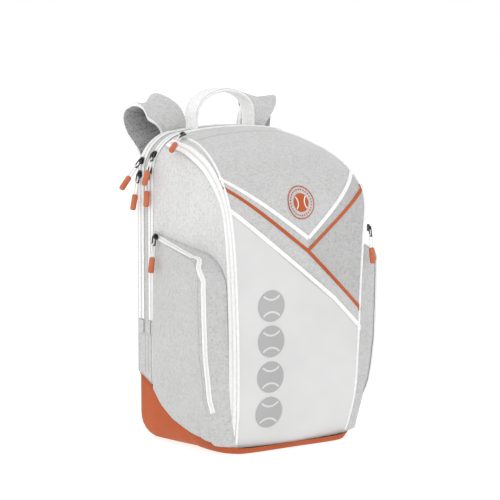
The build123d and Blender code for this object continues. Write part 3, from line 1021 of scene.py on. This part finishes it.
# ---- back pads, straps, handle ------------------------------------------------------------
def pad(name, cx, cz, wide, tall, thick, corner, mats, node=None, channels=()):
    """A stuffed pad on the back panel, with sewn channels across it."""
    rows = []
    n = 44
    y0 = BACK_Y + 0.6

    def half_width(f):
        d = min(f, 1 - f) * tall
        if d >= corner:
            return wide / 2
        return wide / 2 - corner + math.sqrt(max(corner ** 2 - (corner - d) ** 2, 0))

    for i in range(n + 1):
        f = i / n
        z = cz - tall / 2 + f * tall
        half = max(half_width(f), 1.0)
        row = []
        for j in range(25):
            k = -1 + 2 * j / 24
            dome = (max(1 - abs(k) ** 3, 0)) ** 0.5 * min(1.0, (min(f, 1 - f) * tall / corner + 0.02)) ** 0.5
            dip = sum(2.6 * math.exp(-((z - c) / 3.0) ** 2) for c in channels)
            row.append(Vector((cx + half * k, y0 + max(thick * dome - dip * dome, 0.2), z)))
        rows.append(row)
    back = [[Vector((p.x, y0, p.z)) for p in row] for row in reversed(rows)]
    piece = grid(name, rows + back, "pack", mats)
    fix_normals(piece, (cx, 112, cz))
    if node:
        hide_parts(node)
    return piece


def back_padding():
    channels = [232, 272, 312, 352, 392, 432]
    pad("back_pad_left", -39, 332, 46, 274, 9.5, 18, [BACK_MESH], "back_pads", channels)
    pad("back_pad_right", 39, 332, 46, 274, 9.5, 18, [BACK_MESH], None, channels)
    pad("lumbar_pad_cover", 0, 122, 168, 94, 11.5, 28, [BACK_MESH], "lumbar_pad", [122])


STRAP = [(-71, 118.8, 484), (-71, 119.2, 503), (-78, 124, 521), (-91, 134.5, 533), (-106, 146, 538),
         (-113, 155.5, 528), (-113, 156.5, 514), (-110, 150, 496), (-105, 138, 479), (-101, 127, 462),
         (-100, 122.5, 440), (-100, 121.5, 400), (-100, 121, 360), (-100, 121, 320), (-100, 121, 280),
         (-100, 121, 249)]
RIGHT_TOP = [(-84, 118.8, 484), (-88, 119.2, 503), (-98, 124, 521), (-109, 132, 533), (-118, 142, 538),
             (-122, 150.5, 528), (-121, 152.5, 514), (-114, 148, 496), (-107, 138, 479), (-102, 127, 462)]
STRAP_WIDTH = [52, 54, 60, 66, 68, 68, 68, 68, 68, 68, 68, 68, 68, 67, 62, 50]


def strap_ring(i_t, sign):
    """Centre, width direction, thickness direction and half width of the strap at t."""
    path = STRAP if sign < 0 else RIGHT_TOP + STRAP[len(RIGHT_TOP):]
    p = spline(path, i_t)
    ahead = (spline(path, min(i_t + 0.01, 1)) - spline(path, max(i_t - 0.01, 0))).normalized()
    lean = Vector((1, 0, lerp(0.22 if sign < 0 else 0.1, 0.0, smooth((i_t - 0.2) / 0.3))))
    across = (lean - ahead * lean.dot(ahead)).normalized()
    out = across.cross(ahead).normalized()
    wide = spline([(w, 0, 0) for w in STRAP_WIDTH], i_t).x / 2
    return p, across, out, wide


def strap(sign, tag):
    """A padded strap: woven outer face, mesh inner face with sewn channels, bound edges."""
    rows = []
    steps, around = 150, 28
    for i in range(steps + 1):
        t = i / steps
        p, across, out, wide = strap_ring(t, sign)
        row = []
        length = t * 15
        dip = 1.9 * math.exp(-(((length * 2.1) % 1.0 - 0.5) / 0.1) ** 2)
        for k in range(around):
            a = 2 * math.pi * k / around
            c, s = math.cos(a), math.sin(a)
            w = math.copysign(abs(c) ** 0.42, c) * (wide - 1.0)
            h = math.copysign(abs(s) ** 0.62, s) * 5.4
            if s < -0.3:
                h += dip * (1 - abs(c) ** 4)
            q = p + across * w + out * h
            row.append(Vector((-q.x * sign, q.y, q.z)))
        rows.append(row)
    inner_side = 1 if strap_ring(0.5, sign)[2].y < 0 else -1

    def pick(i, j):
        a = 2 * math.pi * (j + 0.5) / around
        c, s = math.cos(a), math.sin(a)
        if abs(c) > 0.93:
            return 2
        facing = s * inner_side > 0
        return 1 if facing else 0

    piece = grid("strap_" + tag + "_pad", rows, None, [STRAP_CLOTH, MESH, WHITE], pick,
                 closed=True)
    fix_normals(piece, (sign * 100, 121, 380))
    return piece


def straps():
    for sign, tag in ((-1, "left"), (1, "right")):
        piece = strap(sign, tag)
        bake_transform(piece)
        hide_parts("strap_" + tag)
        if sign < 0:
            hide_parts("strap_roots")
        tail = [Vector((sign * x, y, z)) for x, y, z in
                ((-100, 121, 252), (-100, 121.2, 236), (-100.6, 121, 220), (-104, 120, 190),
                 (-110, 119, 155), (-116, 118, 120), (-123, 117.2, 88), (-125, 117, 72))]
        points = [spline(tail, i / 50) for i in range(51)]
        web = band("strap_webbing_" + tag, points, [Vector((0, 1, 0))] * 51, 25.0, 1.6, None,
                   [WEBBING])
        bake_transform(web)
        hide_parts("webbing_" + tag)
        patch = [Vector((sign * 123, 114.6, z)) for z in (56, 64, 74, 82)]
        anchor = band("webbing_anchor_" + tag, patch, [Vector((0, 1, 0))] * 4, 30.0, 2.2, "pack",
                      [WEBBING])
        if sign < 0:
            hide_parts("webbing_anchors")


HANDLE = [(-57, 86, 499), (-57, 86, 514), (-55.5, 86, 532), (-46, 86, 547), (-27, 86, 558), (0, 86, 563),
          (27, 86, 558), (46, 86, 547), (55.5, 86, 532), (57, 86, 514), (57, 86, 499)]


def handle_sweep(name, low, high, body, wide, thick, mats):
    """Part of the padded handle, from t low to high."""
    rows = []
    steps, around = 70, 24
    for i in range(steps + 1):
        t = lerp(low, high, i / steps)
        p = spline(HANDLE, t)
        ahead = (spline(HANDLE, min(t + 0.01, 1)) - spline(HANDLE, max(t - 0.01, 0))).normalized()
        across = Vector((0, 1, 0))
        out = across.cross(ahead).normalized()
        fat = lerp(1.0, 1.9, smooth(min(t, 1 - t) / 0.3))
        row = []
        for k in range(around):
            a = 2 * math.pi * k / around
            c, s = math.cos(a), math.sin(a)
            row.append(p + across * math.copysign(abs(c) ** 0.4, c) * wide / 2
                       + out * math.copysign(abs(s) ** 0.7, s) * thick / 2 * fat)
        rows.append(row)
    piece = grid(name, rows, body, mats, closed=True)
    fix_normals(piece, (0, 86, 520))
    return piece


def handle():
    loop = handle_sweep("carry_handle_loop", 0.13, 0.87, "carry_handle", 34, 3.6, [WEBBING])
    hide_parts("handle")
    for low, high, tag in ((0.0, 0.15, "left"), (0.85, 1.0, "right")):
        foot = handle_sweep("handle_foot_" + tag, low, high, "pack", 33, 3.0, [WEBBING])
        if tag == "left":
            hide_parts("handle_tabs")
    for offset in (-15.5, 15.5):
        pts = [spline(HANDLE, lerp(0.14, 0.86, i / 90)) + Vector((0, offset, 0)) for i in range(91)]
        outs, lifted = [], []
        for i, p in enumerate(pts):
            ahead = (pts[min(i + 1, 90)] - pts[max(i - 1, 0)]).normalized()
            out = ahead.cross(Vector((0, 1, 0))).normalized()
            out = out if out.z > 0 or abs(p.x) > 50 else -out
            outs.append(out)
            lifted.append(p + out * 2.5)
        stitches(f"handle_stitches_{int(offset > 0)}", even(lifted, 3.0), (lifted, outs), "carry_handle")


# ---- pulls --------------------------------------------------------------------------------
# Each pull's pin centre, pin direction and the way it hangs, as in the CAD.
PULLS = {
    "laptop_upper": ((-151.7, 97, 455.31), (0, 1, 0), (-0.84, 0, -1), 0),
    "laptop_lower": ((-155.6, 97, 433), (0, 1, 0), (-0.2, 0, -1), 0),
    "main_upper": ((-146.01, 70, 467.8), (-0.1542, 0.9562, -0.2487), (-0.62, -0.36, -1), 0),
    "main_lower": ((-155.6, 70, 441), (0, 1, 0), (-0.07, 0, -1), 0),
    "racket_left": ((-105.68, 45, 500.34), (-0.4891, 0.816, -0.3082), (-0.72, -0.56, -0.34), 8),
    "racket_right": ((149.52, -118.75, 345), (0.3121, 0.9501, -0.0004), (0.09, -0.03, -1), 0),
    "pocket_left": ((-161.06, 45.62, 337.11), (0, 1, 0), (-0.12, 0, -1), 0),
    "pocket_right": ((161.06, 45.62, 337.11), (0, 1, 0), (0.12, 0, -1), 0),
}
CORD_D, CORD_BEND, FOLD, GRIP_START = 2.2, 2.5, -14.2, 33.0


def pull_cord(name, pivot, pin, hang, longer):
    """The loop of cord through a pull's ring, as one smooth curve with its control points."""
    hang, pin = Vector(hang).normalized(), Vector(pin)
    pin = (pin - hang * pin.dot(hang)).normalized()
    out = pin.cross(hang * -1)
    start = -GRIP_START - longer
    half = (start + FOLD) / 2
    side, top = CORD_BEND, FOLD + CORD_BEND
    route = [(start, -side), (half, -side), (FOLD - 1, -side), (top + 0.2, -side * 0.95),
             (top + 0.2, side * 0.95), (FOLD - 1, side), (half, side), (start, side)]
    points = [(Vector(pivot) - hang * a + out * b) * MM for a, b in route]
    curve = bpy.data.curves.new(name + "_loop", "CURVE")
    curve.dimensions = "3D"
    curve.bevel_depth = CORD_D / 2 * MM
    curve.bevel_resolution = 4
    curve.resolution_u = 16
    line = curve.splines.new("NURBS")
    line.points.add(len(points) - 1)
    for point, co in zip(line.points, points):
        point.co = (*co, 1)
    line.order_u = 3
    line.use_endpoint_u = True
    curve.materials.append(CORD_WHITE)
    piece = bpy.data.objects.new(name + "_loop", curve)
    bpy.context.scene.collection.objects.link(piece)
    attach(piece, name + "_pull")
    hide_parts(name + "_cord")
    tuple(points[0])


CORD_WHITE = tape_cloth("white_braided_cord", 246, 228, 1400.0)


def hardware():
    """Materials for the CAD nodes that stay, and the cords of the pulls."""
    for name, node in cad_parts.items():
        mat = None
        if name.endswith(("_slider", "_ring")):
            mat = METAL
        elif name.endswith("_grip"):
            mat = RUBBER
        elif name.startswith("ladder_lock"):
            mat = ACETAL
        if mat:
            for slot in node.material_slots:
                slot.material = mat
    for name, (pivot, pin, hang, longer) in PULLS.items():
        pull_cord(name, pivot, pin, hang, longer)


# ---- stage --------------------------------------------------------------------------------
FLOOR_HALF, FLOOR_Z = 8, -0.0003    # metres; just under the bag's foot
# Each light's name, place and size in metres, and power in watts.
LIGHTS = (
    ("key", (-2.4, -1.6, 2.0), 1.4, 10),
    ("fill", (0.6, -3.0, 1.2), 1.6, 1.5),
    ("rim", (-0.5, 2.6, 2.4), 1.8, 6),
)


def stage():
    """Pale floor, soft studio light and a long lens from the front left."""
    mesh = bpy.data.meshes.new("floor")
    corners = ((-1, -1), (1, -1), (1, 1), (-1, 1))
    mesh.from_pydata([(x * FLOOR_HALF, y * FLOOR_HALF, FLOOR_Z) for x, y in corners], [], [(0, 1, 2, 3)])
    floor = bpy.data.objects.new("floor", mesh)
    bpy.context.scene.collection.objects.link(floor)
    white = Shade("pale_floor", (0.35, 0.35, 0.35), 0.9, spec=0.0)
    white.bsdf.inputs["Emission Color"].default_value = (1, 1, 1, 1)
    white.bsdf.inputs["Emission Strength"].default_value = 0.8
    mesh.materials.append(white.mat)
    world = bpy.data.worlds.new("studio")
    bpy.context.scene.world = world
    world.use_nodes = True
    world.node_tree.nodes["Background"].inputs["Color"].default_value = (1, 1, 1, 1)
    world.node_tree.nodes["Background"].inputs["Strength"].default_value = 1.0
    for name, place, size, power in LIGHTS:
        data = bpy.data.lights.new(name, "AREA")
        data.shape, data.size, data.energy = "SQUARE", size, power
        light = bpy.data.objects.new(name, data)
        light.location = place
        light.rotation_euler = (Vector((0, 0, 0.28)) - Vector(place)).to_track_quat("-Z", "Y").to_euler()
        bpy.context.scene.collection.objects.link(light)
    azimuth, rise, away = math.radians(-37), math.radians(7.3), 4.5
    aim = Vector((-0.0039, 0, 0.308))
    back = Vector((math.sin(azimuth) * math.cos(rise), -math.cos(azimuth) * math.cos(rise), math.sin(rise)))
    data = bpy.data.cameras.new("camera")
    data.lens, data.sensor_width, data.clip_end = 200, 36, 50
    camera = bpy.data.objects.new("camera", data)
    camera.location = aim + back * away
    camera.rotation_euler = (-back).to_track_quat("-Z", "Y").to_euler()
    bpy.context.scene.collection.objects.link(camera)
    bpy.context.scene.camera = camera
    view = bpy.context.scene.view_settings
    view.view_transform = "Standard"


stage()
hardware()
lid = front_panel()
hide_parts("front_shell")
side_wall(1, "side_panel_left")
side_wall(-1, "side_panel_right")
rear_half()
base_tray()
pocket(1, "pocket_shell_left", "pocket_left")
pocket(-1, "pocket_shell_right", "pocket_right")
left_zip = pocket_zip(1, "left")
pocket_zip(-1, "right")
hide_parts("pocket_zips")
long_zips()
zip_end_patches()
edge_zips()
artwork()
badge()
print_marks()
bellows()
top_seam()
dividers()
back_padding()
straps()
handle()
